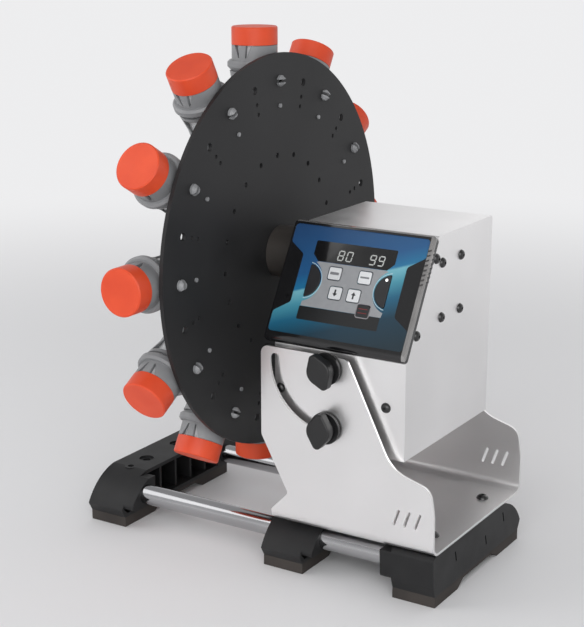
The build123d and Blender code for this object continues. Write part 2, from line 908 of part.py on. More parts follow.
def disc_plate():
    """Round plate with hook and peg holes at every station and between the stations."""
    half_step = 360 / station_count / 2
    face = Circle(disc_d / 2) - Circle(shaft_d / 2)
    face -= PolarLocations(hook_radius, 2 * station_count) * Circle(hook_hole_d / 2)
    face -= PolarLocations(peg_radius, 2 * station_count) * Circle(peg_hole_d / 2)
    face -= PolarLocations(spare_peg_radius, station_count, half_step) * Circle(peg_hole_d / 2)
    face -= PolarLocations(ring_hole_radius, ring_hole_count, ring_hole_start) * Circle(ring_hole_d / 2)
    face -= PolarLocations(hub_screw_pcd / 2, hub_screw_count, 45) * Circle(hub_screw_d / 2 + running)
    plane = Plane(origin=(disc_front_x, 0, axis_z), x_dir=(0, 1, 0), z_dir=(1, 0, 0))
    return extrude(plane * face, disc_thickness)


def hub():
    """Round hub between the disc and the bearing."""
    body = along_x(hub_d / 2, disc_back_x, disc_back_x + hub_length, 0, axis_z)
    body = chamfer(body.edges().filter_by(GeomType.CIRCLE).group_by(Axis.X)[-1], hub_chamfer)
    plane = Plane(origin=(disc_back_x, 0, axis_z), x_dir=(0, 1, 0), z_dir=(1, 0, 0))
    hole = Circle(hub_screw_d / 2 + running)
    holes = Sketch() + PolarLocations(hub_screw_pcd / 2, hub_screw_count, 45) * hole
    body -= extrude(plane * holes, hub_screw_length)
    return body - along_x(shaft_d / 2, disc_back_x - 1, disc_back_x + hub_length + 1, 0, axis_z)


def drive_shaft():
    """Shaft from the disc through hub and bearing into the gearbox."""
    end = gearbox_start() + shaft_in_gearbox
    body = along_x(shaft_d / 2, disc_front_x - shaft_front_stub, end, 0, axis_z)
    return chamfer(body.edges().filter_by(GeomType.CIRCLE), shaft_chamfer)


def hub_screws():
    """Screws from the disc's front into the hub."""
    screw = button_screw(hub_screw_d, hub_screw_length)
    places = PolarLocations(hub_screw_pcd / 2, hub_screw_count, 45).locations
    return group(
        seat(screw, (disc_front_x, place.position.X, axis_z + place.position.Y), (-1, 0, 0))
        for place in places
    )


def revolved_about_tube(points):
    """Solid of revolution about a tube's axis from (radius, distance from the disc's axis)."""
    return Pos(tube_x, 0, 0) * revolve(Plane.XZ * make_face(Polyline(*points, close=True)), Axis.Z)


def tube():
    """Conical tube with an open mouth."""
    outer = tube_d / 2
    inner = outer - tube_wall
    tip = tube_tip_d / 2
    cone_top = tube_tip + tube_cone
    return revolved_about_tube(
        [
            (0, tube_tip),
            (tip, tube_tip),
            (outer, cone_top),
            (outer, tube_mouth),
            (inner, tube_mouth),
            (inner, cone_top),
            (tip - tube_wall, tube_tip + tube_wall),
            (0, tube_tip + tube_wall),
        ]
    )


def cap():
    """Screw cap that closes a tube."""
    outer = cap_d / 2
    bore = tube_d / 2 + (outer - cap_wall - tube_d / 2) / 2
    return revolved_about_tube(
        [
            (0, tube_mouth),
            (bore, tube_mouth),
            (bore, cap_rim),
            (outer, cap_rim),
            (outer, cap_outer - cap_edge),
            (outer - cap_edge, cap_outer),
            (0, cap_outer),
        ]
    )


def clip_shell():
    """Outer form of a clip: tapered basket, thick ring and sleeve, bored for the tube."""
    bore = clip_bore_d / 2
    sleeve = bore + clip_wall
    return revolved_about_tube(
        [
            (bore, basket_low),
            (bore + basket_foot_wall, basket_low),
            (bore + basket_foot_wall, ring_low - basket_taper),
            (bore + basket_rib_wall, ring_low),
            (ring_d / 2 - ring_edge, ring_low),
            (ring_d / 2, ring_low + ring_edge),
            (ring_d / 2, ring_high - ring_edge / 2),
            (ring_d / 2 - ring_edge / 2, ring_high),
            (sleeve, ring_high),
            (sleeve, clip_mouth),
            (bore, clip_mouth),
        ]
    )


def sleeve_windows():
    """Tapered cuts that leave a springy tongue in the middle of each window."""
    low = ring_high + window_sill
    half = tongue_width / 2
    gap = make_face(
        Polyline(
            (half, clip_mouth + 1),
            (half + window_gap_top, clip_mouth + 1),
            (half - tongue_taper + window_gap_low, low),
            (half - tongue_taper, low),
            close=True,
        )
    )
    pair = gap + mirror(gap, about=Plane.YZ)
    cut = extrude(Plane.XZ * pair, ring_d)
    return [Pos(tube_x, 0, 0) * Rot(0, 0, turn) * cut for turn in window_turns]


def basket_windows():
    """Triangular openings that leave four legs running in towards the basket's foot."""
    low = basket_low + basket_sill
    high = ring_low - basket_head
    corners = [(0, low), (-basket_opening_half, high), (basket_opening_half, high)]
    opening = make_face(Polyline(*corners, close=True))
    opening = fillet(opening.vertices(), basket_opening_corner)
    cut = extrude(Plane.XZ * opening, ring_d)
    return [Pos(tube_x, 0, 0) * Rot(0, 0, turn) * cut for turn in window_turns]


def clip_hook():
    """Split barbed post that snaps through the disc from the clip's side."""
    post_r = hook_hole_d / 2 - running
    barb_r = post_r + hook_barb
    start = disc_front_x - hook_root
    tip = disc_back_x + hook_reach
    profile = make_face(
        Polyline(
            (0, start),
            (post_r, start),
            (post_r, disc_back_x + running),
            (barb_r, disc_back_x + running),
            (barb_r, disc_back_x + hook_barb_height),
            (post_r - hook_point, tip),
            (0, tip),
            close=True,
        )
    )
    post = revolve(Plane.XZ * profile, Axis.Z)
    post -= block((-hook_slot / 2, hook_slot / 2), (-barb_r, barb_r), (disc_front_x + 1, tip + 1))
    return Plane(origin=(0, 0, hook_radius), x_dir=(0, 0, 1), z_dir=(1, 0, 0)) * post


def clip():
    """One moulded tube clip at the top of the disc."""
    body = clip_shell()
    for cut in sleeve_windows() + basket_windows():
        body -= cut
    bore = Pos(tube_x, 0, basket_low) * Cylinder(
        clip_bore_d / 2, ring_high - basket_low, align=(Align.CENTER, Align.CENTER, Align.MIN)
    )
    saddle = block((tube_x, disc_front_x), (-saddle_width / 2, saddle_width / 2), (saddle_low, ring_high))
    body += saddle - bore
    body -= block((disc_front_x, disc_front_x + ring_d), (-ring_d, ring_d), (basket_low, clip_mouth))
    body += clip_hook()
    peg_r = peg_hole_d / 2 - running
    body += along_x(peg_r, disc_front_x - peg_root, disc_back_x + peg_reach, 0, peg_radius)
    return body


def tube_clips():
    """Clips at all stations."""
    one = clip()
    return group(at_station(one, station_turn(index)) for index in range(station_count))


# All sub-parts by name -------------------------------------------------------------------------


def make_parts():
    """Every sub-part of the rotator, in its place."""
    left_foot = Pos(foot_left_x, 0, 0)
    middle_foot = Pos(foot_middle_x, 0, 0)
    right_foot = Pos(foot_right_x, 0, 0) * Rot(0, 0, 180)
    end_foot = foot(rods_pass_through=False)
    pad = foot_pad()
    parts = {
        "foot_left": left_foot * end_foot,
        "foot_middle": middle_foot * foot(rods_pass_through=True),
        "foot_right": right_foot * end_foot,
        "foot_pads": group([left_foot * pad, middle_foot * pad, right_foot * pad]),
        "rod_front": rod(-1),
        "rod_rear": rod(1),
        "bracket": bracket(),
        "bracket_screws": bracket_screws(),
        "housing": housing(),
        "chassis": chassis(),
        "studs": studs(),
        "washers": washers(),
        "pivot_knob": knob(*stud_places()[0], pivot_knob_turn),
        "clamp_knob": knob(*stud_places()[1], clamp_knob_turn),
        "housing_screws": housing_screws(),
        "power_inlet": power_inlet(),
        "console_bezel": console_bezel(),
        "console_panel": console_panel(),
        "console_window": console_window(),
        "shaft_bearing": shaft_bearing(),
        "motor_plate": motor_plate(),
        "gearbox": gearbox(),
        "motor": motor(),
        "circuit_board": circuit_board(),
        "disc_plate": disc_plate(),
        "hub": hub(),
        "drive_shaft": drive_shaft(),
        "hub_screws": hub_screws(),
        "tube_clips": tube_clips(),
    }
    for name in keys:
        parts[name] = key(name)
    one_tube = tube()
    one_cap = cap()
    for index in range(station_count):
        parts[f"tube_{index + 1:02d}"] = at_station(one_tube, station_turn(index))
        parts[f"cap_{index + 1:02d}"] = at_station(one_cap, station_turn(index))
    return parts


os.makedirs("parts", exist_ok=True)
for part_name, part_shape in make_parts().items():
    export_step(part_shape, f"parts/{part_name}.step")
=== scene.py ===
import math

import bmesh
import bpy
from mathutils import Matrix, Vector


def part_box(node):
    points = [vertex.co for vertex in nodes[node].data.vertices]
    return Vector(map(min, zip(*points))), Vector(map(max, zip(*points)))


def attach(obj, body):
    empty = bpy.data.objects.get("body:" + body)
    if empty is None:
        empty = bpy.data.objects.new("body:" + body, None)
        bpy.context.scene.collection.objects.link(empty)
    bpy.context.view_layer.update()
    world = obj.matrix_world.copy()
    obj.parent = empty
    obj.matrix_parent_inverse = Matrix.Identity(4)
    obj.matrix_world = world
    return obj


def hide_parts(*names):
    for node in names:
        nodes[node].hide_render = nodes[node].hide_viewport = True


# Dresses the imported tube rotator. Everything is in metres, in the CAD model's own frame.

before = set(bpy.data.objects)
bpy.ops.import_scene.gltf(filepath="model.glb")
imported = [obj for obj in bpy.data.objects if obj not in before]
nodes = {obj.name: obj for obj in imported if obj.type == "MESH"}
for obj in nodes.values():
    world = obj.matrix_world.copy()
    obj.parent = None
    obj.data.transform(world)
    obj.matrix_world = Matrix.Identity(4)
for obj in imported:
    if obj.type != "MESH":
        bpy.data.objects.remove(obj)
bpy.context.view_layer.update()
MM = 0.001

# Ends of the console's frame
bezel_low, bezel_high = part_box("console_bezel")

# Camera of the photograph
CAMERA_PLACE = (0.5791, -0.9422, 0.4772)
CAMERA_PITCH = math.radians(15.15)
CAMERA_YAW = math.radians(31.96)
CAMERA_LENS = 85.63
CAMERA_SENSOR = 36.0

# Turn of the knobs from the way they are modelled
KNOB_TURN = math.radians(90.0)

# Places round the disc
STATIONS = range(1, 13)

# Studio: colour of the surround, the share of it that lights, how high its pale band reaches and
# what is left of it overhead, and the floor's fade in metres
PALE = (0.85, 0.85, 0.86)
AMBIENT = 0.55
SKY_RISE = (0.02, 0.6)
OVERHEAD = 0.55
FLOOR_FADE = (0.55, 1.5)
FLOOR_SIZE = 12.0
FLOOR_DROP = 0.0002

# Lamps: place, size and watts
LIGHT_TARGET = Vector((0.0, 0.0, 0.2))
LAMPS = [
    ("key_light", (0.9, -1.8, 1.0), (2.2, 1.6), 28.0),
    ("fill_light", (-1.6, -0.8, 1.1), (1.6, 1.6), 11.0),
    ("back_light", (0.2, 1.6, 1.2), (2.0, 1.0), 4.0),
]

# Swoosh on the printed panel: where it starts at the left end, its rise and its reach, in mm
SWOOSH_START = 33.0
SWOOSH_RISE = 0.36
SWOOSH_BELOW = 60.0
SWOOSH_ABOVE = 52.0


# Node helpers --------------------------------------------------------------------------------


class Shader:
    """A Principled material under construction."""

    def __init__(self, name, colour, roughness, metallic=0.0):
        self.material = bpy.data.materials.new(name)
        self.material.use_nodes = True
        self.tree = self.material.node_tree
        self.principled = self.tree.nodes["Principled BSDF"]
        self.set("Base Color", (*colour, 1.0))
        self.set("Roughness", roughness)
        self.set("Metallic", metallic)
        self.coordinates = self.tree.nodes.new("ShaderNodeTexCoord").outputs["Object"]

    def set(self, socket, value):
        self.principled.inputs[socket].default_value = value

    def node(self, kind, **inputs):
        made = self.tree.nodes.new(kind)
        for name, value in inputs.items():
            socket = made.inputs[name.replace("_", " ")]
            if isinstance(value, bpy.types.NodeSocket):
                self.tree.links.new(value, socket)
            else:
                socket.default_value = value
        return made

    def link(self, output, socket):
        self.tree.links.new(output, self.principled.inputs[socket])

    def stretched(self, scale):
        """Object coordinates scaled unevenly, for brush lines."""
        mapping = self.node("ShaderNodeMapping", Vector=self.coordinates, Scale=scale)
        return mapping.outputs["Vector"]

    def noise(self, scale, detail=3.0, vector=None):
        made = self.node(
            "ShaderNodeTexNoise",
            Vector=self.coordinates if vector is None else vector,
            Scale=scale,
            Detail=detail,
        )
        return made.outputs["Fac"]

    def ramp(self, value, stops):
        """Colour ramp from (position, grey or colour) stops."""
        made = self.node("ShaderNodeValToRGB", Fac=value)
        elements = made.color_ramp.elements
        while len(elements) < len(stops):
            elements.new(0.5)
        for element, (position, colour) in zip(elements, stops):
            element.position = position
            element.color = (colour,) * 3 + (1.0,) if isinstance(colour, float) else (*colour, 1.0)
        return made.outputs["Color"]

    def spread(self, value, low, high):
        """Map a 0..1 noise to a range."""
        made = self.node("ShaderNodeMapRange", Value=value)
        made.inputs["To Min"].default_value = low
        made.inputs["To Max"].default_value = high
        return made.outputs["Result"]

    def vary_colour(self, value, dark, light):
        self.link(self.ramp(value, [(0.3, dark), (0.7, light)]), "Base Color")

    def vary_roughness(self, value, low, high):
        self.link(self.spread(value, low, high), "Roughness")

    def calculate(self, operation, first, second):
        made = self.node("ShaderNodeMath")
        made.operation = operation
        self.tree.links.new(first, made.inputs[0])
        self.tree.links.new(second, made.inputs[1])
        return made.outputs["Value"]

    def along(self, direction):
        """Distance along a direction, in the object's own metres."""
        made = self.node("ShaderNodeVectorMath", Vector=self.coordinates)
        made.operation = "DOT_PRODUCT"
        made.inputs[1].default_value = direction
        return made.outputs["Value"]

    def beyond(self, direction, place, soft=0.0001):
        """1 past a place along a direction, 0 before it."""
        made = self.node("ShaderNodeMapRange", Value=self.along(direction))
        made.inputs["From Min"].default_value = direction.dot(place) - soft
        made.inputs["From Max"].default_value = direction.dot(place) + soft
        return made.outputs["Result"]

    def bump(self, height, strength, distance):
        made = self.node("ShaderNodeBump", Height=height, Strength=strength, Distance=distance)
        self.link(made.outputs["Normal"], "Normal")


def linear(red, green, blue):
    """Linear colour of an 8-bit display colour."""
    return tuple(
        v / 255 / 12.92 if v <= 10 else ((v / 255 + 0.055) / 1.055) ** 2.4
        for v in (red, green, blue)
    )


# Materials -----------------------------------------------------------------------------------


def brushed_sheet():
    shader = Shader("sheet_steel", linear(240, 239, 239), 0.34, 1.0)
    grain = shader.noise(1.0, 4.0, shader.stretched((60.0, 60.0, 2600.0)))
    cloud = shader.noise(9.0, 2.0)
    shader.vary_roughness(grain, 0.28, 0.42)
    shader.vary_colour(cloud, linear(234, 233, 233), linear(245, 244, 244))
    shader.bump(grain, 0.06, 0.00005)
    return shader.material


def polished_rod():
    shader = Shader("rod_steel", linear(176, 176, 178), 0.12, 1.0)
    drawn = shader.noise(1.0, 3.0, shader.stretched((4.0, 900.0, 900.0)))
    shader.vary_roughness(drawn, 0.07, 0.18)
    shader.vary_colour(shader.noise(12.0, 2.0), linear(170, 170, 172), linear(181, 181, 183))
    shader.bump(drawn, 0.03, 0.00003)
    return shader.material


def turned_steel():
    shader = Shader("plain_steel", linear(196, 197, 200), 0.3, 1.0)
    lines = shader.noise(1400.0, 2.0)
    shader.vary_roughness(lines, 0.2, 0.4)
    shader.vary_colour(shader.noise(40.0, 2.0), linear(190, 191, 194), linear(201, 202, 205))
    shader.bump(lines, 0.05, 0.00003)
    return shader.material


def moulded(name, dark, light, roughness, specular=0.5):
    """Moulded plastic with a fine spark-eroded grain and faint clouding."""
    shader = Shader(name, light, roughness)
    shader.vary_colour(shader.noise(35.0, 3.0), dark, light)
    fine = shader.noise(2600.0, 2.0)
    shader.vary_roughness(shader.noise(60.0, 4.0), roughness - 0.07, roughness + 0.07)
    shader.bump(fine, 0.25, 0.00006)
    shader.set("Specular IOR Level", specular)
    return shader.material


def disc_finish():
    shader = Shader("disc_black", linear(40, 40, 41), 0.5)
    shader.vary_colour(shader.noise(14.0, 4.0), linear(34, 34, 35), linear(43, 43, 44))
    shader.vary_roughness(shader.noise(28.0, 4.0), 0.42, 0.58)
    shader.bump(shader.noise(1800.0, 2.0), 0.12, 0.00004)
    shader.set("Specular IOR Level", 0.25)
    return shader.material


def cap_finish():
    shader = Shader("cap_orange", linear(220, 78, 44), 0.42)
    shader.vary_colour(shader.noise(40.0, 3.0), linear(212, 70, 38), linear(226, 82, 46))
    shader.vary_roughness(shader.noise(90.0, 3.0), 0.36, 0.5)
    shader.bump(shader.noise(2400.0, 2.0), 0.1, 0.00004)
    shader.set("Specular IOR Level", 0.35)
    shader.set("Subsurface Weight", 0.08)
    shader.set("Subsurface Radius", (0.002, 0.0008, 0.0004))
    return shader.material


def tube_finish():
    """Translucent polypropylene with a faint haze."""
    shader = Shader("tube_clear", linear(240, 241, 242), 0.3)
    shader.vary_colour(shader.noise(45.0, 2.0), linear(236, 238, 240), linear(244, 245, 246))
    shader.vary_roughness(shader.noise(45.0, 2.0), 0.28, 0.33)
    shader.bump(shader.noise(1600.0, 2.0), 0.04, 0.00003)
    shader.set("Transmission Weight", 0.4)
    shader.set("IOR", 1.3)
    return shader.material


def glossy(name, colour, roughness=0.12):
    """Glossy moulding with faint orange peel."""
    shader = Shader(name, colour, roughness)
    shader.vary_colour(shader.noise(25.0, 2.0), tuple(0.85 * c for c in colour), colour)
    shader.bump(shader.noise(320.0, 2.0), 0.04, 0.00005)
    shader.vary_roughness(shader.noise(80.0, 3.0), roughness - 0.04, roughness + 0.05)
    shader.set("Coat Weight", 0.4)
    return shader


def bezel_finish():
    """Glossy black frame whose upper and right rims are silver metallic, partly a silver trim and
    partly a painted highlight along these lit edges.
    """
    shader = glossy("bezel_gloss", linear(15, 15, 17))
    # Silver strip on the upper and right rims: partly trim, partly a painted highlight where these
    # edges catch the light
    corner = on_slope(BEZEL_LENGTH - RIM_RIGHT, BEZEL_HEIGHT - RIM_TOP, -RIM_DEPTH)
    right = shader.beyond(Vector((1.0, 0.0, 0.0)), corner)
    top = shader.beyond(UPWARD, corner)
    either = shader.calculate("MAXIMUM", right, top)
    silver_highlight_mask = shader.calculate("MULTIPLY", either, shader.beyond(OUTWARD, corner))
    cloud = shader.noise(60.0, 3.0)
    black = shader.ramp(cloud, [(0.3, linear(13, 13, 15)), (0.7, linear(17, 17, 19))])
    silver_highlight = shader.ramp(cloud, [(0.3, linear(150, 148, 147)), (0.7, linear(168, 166, 165))])
    blend = shader.node("ShaderNodeMixRGB", Fac=silver_highlight_mask, Color1=black, Color2=silver_highlight)
    shader.link(blend.outputs["Color"], "Base Color")
    shader.link(shader.spread(silver_highlight_mask, 0.0, 0.7), "Metallic")
    return shader.material


def panel_print():
    """Blue printed film whose tone runs down the slope."""
    shader = Shader("panel_blue", linear(20, 90, 150), 0.32)
    lean = Vector((-SWOOSH_RISE, UPWARD.y, UPWARD.z))
    origin = on_slope(0.0, SWOOSH_START)
    above = shader.node("ShaderNodeMapRange", Value=shader.along(lean))
    above.inputs["From Min"].default_value = lean.dot(origin) - SWOOSH_BELOW * MM
    above.inputs["From Max"].default_value = lean.dot(origin) + SWOOSH_ABOVE * MM
    colours = shader.ramp(
        above.outputs["Result"],
        [
            (0.0, linear(10, 38, 50)),
            (0.2, linear(10, 50, 68)),
            (0.34, linear(22, 92, 122)),
            (0.44, linear(66, 140, 160)),
            (0.53, linear(112, 176, 190)),
            (0.545, linear(24, 108, 150)),
            (0.65, linear(26, 82, 130)),
            (1.0, linear(30, 66, 108)),
        ],
    )
    shader.link(colours, "Base Color")
    shader.vary_roughness(shader.noise(70.0, 3.0), 0.26, 0.38)
    shader.bump(shader.noise(1500.0, 2.0), 0.05, 0.00003)
    return shader.material


def ink(name, colour, roughness):
    """Flat colour with faint mottling, for the prints and for the painted shade round the keys."""
    shader = Shader(name, colour, roughness)
    shader.vary_colour(shader.noise(260.0, 3.0), tuple(0.92 * c for c in colour), colour)
    shader.vary_roughness(shader.noise(140.0, 2.0), roughness - 0.05, roughness + 0.05)
    shader.bump(shader.noise(2200.0, 2.0), 0.05, 0.00002)
    return shader.material


def lit(name, colour, strength):
    """Softly lit display or lamp."""
    shader = Shader(name, colour, 0.3)
    shader.vary_colour(shader.noise(900.0, 2.0), tuple(0.9 * c for c in colour), colour)
    shader.vary_roughness(shader.noise(300.0, 2.0), 0.25, 0.35)
    shader.set("Emission Color", (*colour, 1.0))
    shader.set("Emission Strength", strength)
    return shader.material


def dress(material, *names):
    for name in names:
        mesh = nodes[name].data
        mesh.materials.clear()
        mesh.materials.append(material)


def dress_all():
    black = moulded("moulded_black", linear(26, 26, 27), linear(36, 36, 37), 0.5, 0.3)
    knob_black = moulded("knob_plastic", linear(18, 18, 19), linear(27, 27, 28), 0.38)
    steel = turned_steel()
    rubber = moulded("pad_rubber", linear(54, 50, 48), linear(66, 61, 58), 0.75, 0.3)
    screw_black = glossy("black_screws", linear(20, 20, 21), 0.3).material
    nylon = moulded("washer_nylon", linear(30, 30, 31), linear(40, 40, 41), 0.4)
    hub_metal = moulded("hub_metal", linear(50, 47, 45), linear(62, 58, 55), 0.36)
    bronze = moulded("bearing_bronze", linear(150, 118, 74), linear(176, 140, 92), 0.4)
    board = moulded("board_green", linear(14, 84, 46), linear(20, 104, 58), 0.45)
    smoke = glossy("window_smoke", linear(8, 8, 10), 0.1).material
    clip_grey = moulded("clip_grey", linear(126, 127, 129), linear(144, 145, 147), 0.42)
    white_key = moulded("key_white", linear(206, 208, 210), linear(222, 224, 226), 0.4)
    dark_key = moulded("key_dark", linear(26, 27, 29), linear(36, 37, 40), 0.35)
    dress(brushed_sheet(), "bracket", "housing", "chassis")
    dress(polished_rod(), "rod_front", "rod_rear")
    dress(black, "foot_left", "foot_middle", "foot_right")
    dress(rubber, "foot_pads")
    dress(screw_black, "bracket_screws", "housing_screws")
    dress(knob_black, "pivot_knob", "clamp_knob", "power_inlet", "motor")
    dress(steel, "studs", "drive_shaft", "hub_screws", "motor_plate", "gearbox")
    dress(nylon, "washers")
    dress(hub_metal, "hub")
    dress(bronze, "shaft_bearing")
    dress(board, "circuit_board")
    dress(bezel_finish(), "console_bezel")
    dress(panel_print(), "console_panel")
    dress(smoke, "console_window")
    dress(disc_finish(), "disc_plate")
    dress(clip_grey, "tube_clips")
    dress(tube_finish(), *[f"tube_{station:02d}" for station in STATIONS])
    dress(cap_finish(), *[f"cap_{station:02d}" for station in STATIONS])
    dress(white_key, "key_mode", "key_timer", "key_down", "key_up")
    dress(dark_key, "key_power", "key_stop", "key_start")


# Console graphics ----------------------------------------------------------------------------

# Positions are in millimetres: u from the console's left end, s up the slope. Lifts are above the
# face that a print lies on, and depths run down from there.
FIELD_TOP = (29.0, 83.0, 63.0)
FIELD_BOTTOM = (23.0, 88.6, 28.8)
FIELD_WAIST = (35.0, 77.4)
FIELD_GROWTH = 3.4
FIELD_CLEAR = 0.5
BAR = (22.3, 18.7, 65.9, 9.9)
BAR_CORNER = 0.8
BAR_LIFT = 0.04
BAR_DEPTH = 0.08
LENS_MIDDLE = 48.0
LENS_HALF = 12.3
LENS_BULGE = 10.4
LENSES = {"key_stop": (23.3, 1), "key_start": (89.3, -1)}
HALO_GAP = 0.9
HALO_WIDTH = 0.55
HALO_LIFT = 0.1
HALO_DEPTH = 0.12
LED_PLACE = (86.3, 56.2)
LED_RADIUS = 1.1
LED_RISE = 0.35
LED_ROOT = 0.2
KEY_SIZE = (9.8, 9.0)
KEY_CORNER = 1.2
KEY_FRAME = (0.35, 0.75)
FRAME_LIFT = 0.12
FRAME_DEPTH = 0.15
SQUARE_KEYS = {
    "key_mode": (44.0, 55.6),
    "key_timer": (68.7, 55.6),
    "key_down": (48.4, 41.4),
    "key_up": (63.4, 41.4),
    "key_power": (73.8, 31.4),
}
DIGITS = [("8", 42.3), ("0", 49.2), ("9", 68.2), ("9", 75.1)]
DIGIT_LOW = 65.4
DIGIT_WIDTH = 5.0
DIGIT_HEIGHT = 7.8
DIGIT_STROKE = 0.85
DIGIT_SLANT = 0.1
DIGIT_GAP = 0.12
DIGIT_LIFT = 0.05
DIGIT_DEPTH = 0.06
SEGMENTS = {"8": "abcdefg", "0": "abcdef", "9": "abcdfg"}
ARROW = (0.65, 1.9, 2.6, 0.2)
BANDS = {
    "key_mode": (2.0, (0.0,)),
    "key_timer": (1.3, (0.0,)),
    "key_power": (0.6, (1.5, -1.5)),
}
BAND_MARGIN = 2.6
MARK_LIFT = 0.03
MARK_DEPTH = 0.06
PRINT_LIFT = 0.06
PRINT_DEPTH = 0.1

# Steps of a rounded corner, a curved side and a turned form
CORNER_STEPS = 6
BULGE_STEPS = 24
TURN_STEPS = 32
DOME_STEPS = 8

# Silver rims of the bezel, partly trim and partly a painted highlight, and the grip ribs on the
# right one, in millimetres
RIB_PROUD = 0.5
RIM_RIGHT = 3.4
RIM_TOP = 1.3
RIM_DEPTH = 1.3
GRIP_COUNT = 8
GRIP_LOW = 55.0
GRIP_PITCH = 3.6
GRIP_SIZE = (2.3, 1.2)
GRIP_SLANT = 0.9
GRIP_INSET = 0.2
GRIP_LIFT = 0.25
GRIP_DEPTH = 0.3


def slope_directions():
    """Directions out of and up the slope, with the panel's height and the console's two edges."""
    faces = nodes["console_panel"].data.polygons
    outward = max(faces, key=lambda face: face.area * (face.normal.z > 0)).normal.copy()
    upward = Vector((0.0, outward.z, -outward.y))
    height = max(outward.dot(v.co) for v in nodes["console_panel"].data.vertices)
    rises = [upward.dot(v.co) for v in nodes["console_bezel"].data.vertices]
    return outward, upward, height, min(rises), max(rises)


OUTWARD, UPWARD, PANEL_HEIGHT, LOWER_EDGE, UPPER_EDGE = slope_directions()
BEZEL_LENGTH = (bezel_high.x - bezel_low.x) / MM - RIB_PROUD
BEZEL_HEIGHT = (UPPER_EDGE - LOWER_EDGE) / MM


def on_slope(u, s, lift=0.0):
    """Point on the console from millimetres along it, up it and above the panel."""
    across = Vector((bezel_low.x + u * MM, 0.0, 0.0))
    return across + UPWARD * (LOWER_EDGE + s * MM) + OUTWARD * (PANEL_HEIGHT + lift * MM)


def key_top(name):
    """Height of a key's face above the panel, in millimetres."""
    top = max(OUTWARD.dot(v.co) for v in nodes[name].data.vertices)
    return (top - PANEL_HEIGHT) / MM


def circle_arc(centre, radius, start, end, steps):
    """Points on an arc, in degrees."""
    return [
        (
            centre[0] + radius * math.cos(math.radians(start + (end - start) * i / steps)),
            centre[1] + radius * math.sin(math.radians(start + (end - start) * i / steps)),
        )
        for i in range(steps + 1)
    ]


def rounded_box(u, s, width, height, corner):
    """Rounded rectangle from its lower left corner."""
    points = []
    for index, (cu, cs) in enumerate(
        (
            (u + width - corner, s + height - corner),
            (u + corner, s + height - corner),
            (u + corner, s + corner),
            (u + width - corner, s + corner),
        )
    ):
        points += circle_arc((cu, cs), corner, 90 * index, 90 * index + 90, CORNER_STEPS)
    return points


def bulge_arc(flat_u, way, half, bulge):
    """Arc of a lens-shaped key's curved side, from its top to its bottom."""
    radius = (half * half + bulge * bulge) / (2 * bulge)
    centre = (flat_u + way * (bulge - radius), LENS_MIDDLE)
    reach = math.degrees(math.asin(half / radius))
    if bulge > radius:
        reach = 180 - reach
    points = circle_arc(centre, radius, reach, -reach, BULGE_STEPS)
    return points if way > 0 else [(2 * centre[0] - u, s) for u, s in points]


def finish_mesh(name, shape, material, body):
    """Turn a bmesh into a piece that rides on a body."""
    bmesh.ops.recalc_face_normals(shape, faces=shape.faces)
    mesh = bpy.data.meshes.new(name)
    shape.to_mesh(mesh)
    shape.free()
    mesh.materials.append(material)
    piece = bpy.data.objects.new(name, mesh)
    bpy.context.collection.objects.link(piece)
    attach(piece, body)


def plate(name, loops, material, body="head", base=0.0, lift=PRINT_LIFT, depth=PRINT_DEPTH):
    """Thin printed shape from an outline and the outlines of its holes, closed all round."""
    shape = bmesh.new()
    for loop in loops:
        corners = [shape.verts.new(on_slope(u, s, base + lift)) for u, s in loop]
        for first, second in zip(corners, corners[1:] + corners[:1]):
            shape.edges.new((first, second))
    bmesh.ops.triangle_fill(shape, use_beauty=True, edges=shape.edges[:])
    lower = bmesh.ops.extrude_face_region(shape, geom=shape.faces[:])["geom"]
    moved = [item for item in lower if isinstance(item, bmesh.types.BMVert)]
    bmesh.ops.translate(shape, verts=moved, vec=-OUTWARD * depth * MM)
    finish_mesh(name, shape, material, body)


def key_loop(name, margin):
    """Outline of a square key, grown by a margin."""
    u, s = SQUARE_KEYS[name]
    width, height = KEY_SIZE[0] + 2 * margin, KEY_SIZE[1] + 2 * margin
    return rounded_box(u - width / 2, s - height / 2, width, height, KEY_CORNER + margin)


def key_field(material):
    """Grey field between the lens-shaped keys, with openings for the square keys."""
    left_top, right_top, top = FIELD_TOP
    left_low, right_low, low = FIELD_BOTTOM
    waist_left, waist_right = FIELD_WAIST
    stop_u = LENSES["key_stop"][0]
    start_u = LENSES["key_start"][0]
    half = LENS_HALF + FIELD_GROWTH
    left = bulge_arc(stop_u, 1, half, waist_left - stop_u)
    right = bulge_arc(start_u, -1, half, start_u - waist_right)
    left = [point for point in left if point[1] < top - FIELD_CLEAR]
    right = [point for point in right if point[1] < top - FIELD_CLEAR]
    outline = [(left_top, top), *left, (left_low, low)]
    outline += [(right_low, low), *reversed(right), (right_top, top)]
    openings = [key_loop(name, KEY_FRAME[0]) for name in SQUARE_KEYS]
    plate("key_field", [outline, *openings], material)


def key_frames(dark, light):
    """Outlines around the square keys: the dark ones are painted shade where the keys stand off
    the field, and the power key's is lighter.
    """
    inner, outer = KEY_FRAME
    for name in SQUARE_KEYS:
        loops = [key_loop(name, outer), key_loop(name, inner)]
        # The dark outlines are painted shade round the keys
        material = light if name == "key_power" else dark
        plate(f"frame_{name}", loops, material, lift=FRAME_LIFT, depth=FRAME_DEPTH)


def halos(material):
    """Bright lines beside the lens-shaped keys."""
    far = HALO_GAP + HALO_WIDTH
    for name, (flat_u, way) in LENSES.items():
        inner = bulge_arc(flat_u, way, LENS_HALF + HALO_GAP, LENS_BULGE + HALO_GAP)
        outer = bulge_arc(flat_u, way, LENS_HALF + far, LENS_BULGE + far)
        plate(f"halo_{name}", [inner + outer[::-1]], material, lift=HALO_LIFT, depth=HALO_DEPTH)


